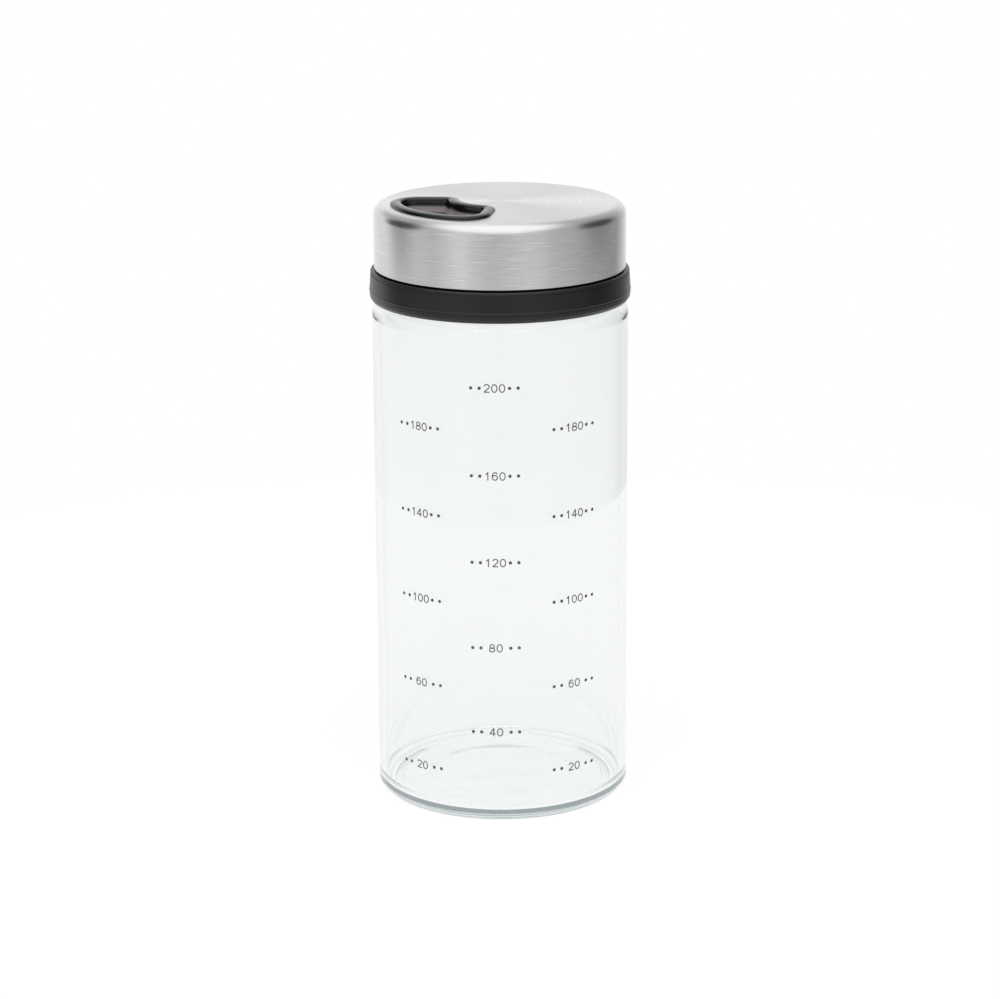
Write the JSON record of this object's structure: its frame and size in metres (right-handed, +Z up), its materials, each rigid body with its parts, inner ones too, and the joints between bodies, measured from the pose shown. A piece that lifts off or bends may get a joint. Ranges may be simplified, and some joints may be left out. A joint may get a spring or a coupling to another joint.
{
  "type": "seasoning jar",
  "caption": "Clear glass seasoning jar with printed measuring marks, a screw cap holding a shaker disc, and a brushed metal cover whose window turns to pour, sprinkle or close.",
  "frame": {"origin": "centre of the ring that the jar stands on, on the jar's axis", "axes": "+Z up the jar's axis; -Y towards the middle column of the measuring marks, the side the picture was taken from"},
  "size_m": [0.056, 0.056, 0.1312],
  "materials": {
    "clear_glass": "clear pressed soda-lime glass, fire polished",
    "brushed_steel": "stainless steel, brushed round on the top and sideways on the wall",
    "gloss_black": "glossy moulded polypropylene",
    "satin_black": "satin moulded polypropylene",
    "silicone": "translucent white food silicone",
    "grey_enamel": "fired dark grey enamel print for the measuring marks"
  },
  "bodies": {
    "jar": {"glass_jar": "clear_glass"},
    "seal": {"neck_gasket": "silicone"},
    "cap": {"screw_cap": "satin_black", "grip_band": "satin_black", "shaker_disc": "gloss_black"},
    "cover": {"steel_cover": "brushed_steel", "cover_liner": "gloss_black", "window_bezel": "gloss_black", "pivot_pin": "gloss_black"}
  },
  "joints": [
    {"name": "cap_rise", "type": "slide", "parent": "jar", "child": "seal", "axis": [0, 0, 1], "range_m": [0, 0.018]},
    {"name": "cap_turn", "type": "hinge", "parent": "seal", "child": "cap", "pos_m": [0, 0, 0.1116], "axis": [0, 0, 1], "range_deg": [0, 720]},
    {"name": "cover_turn", "type": "hinge", "parent": "cap", "child": "cover", "pos_m": [0, 0, 0.1269], "axis": [0, 0, 1], "continuous": true}
  ],
  "couplings": [
    {"joint": "cap_rise", "follows": "cap_turn", "m_per_rad": 0.0014324}
  ]
}
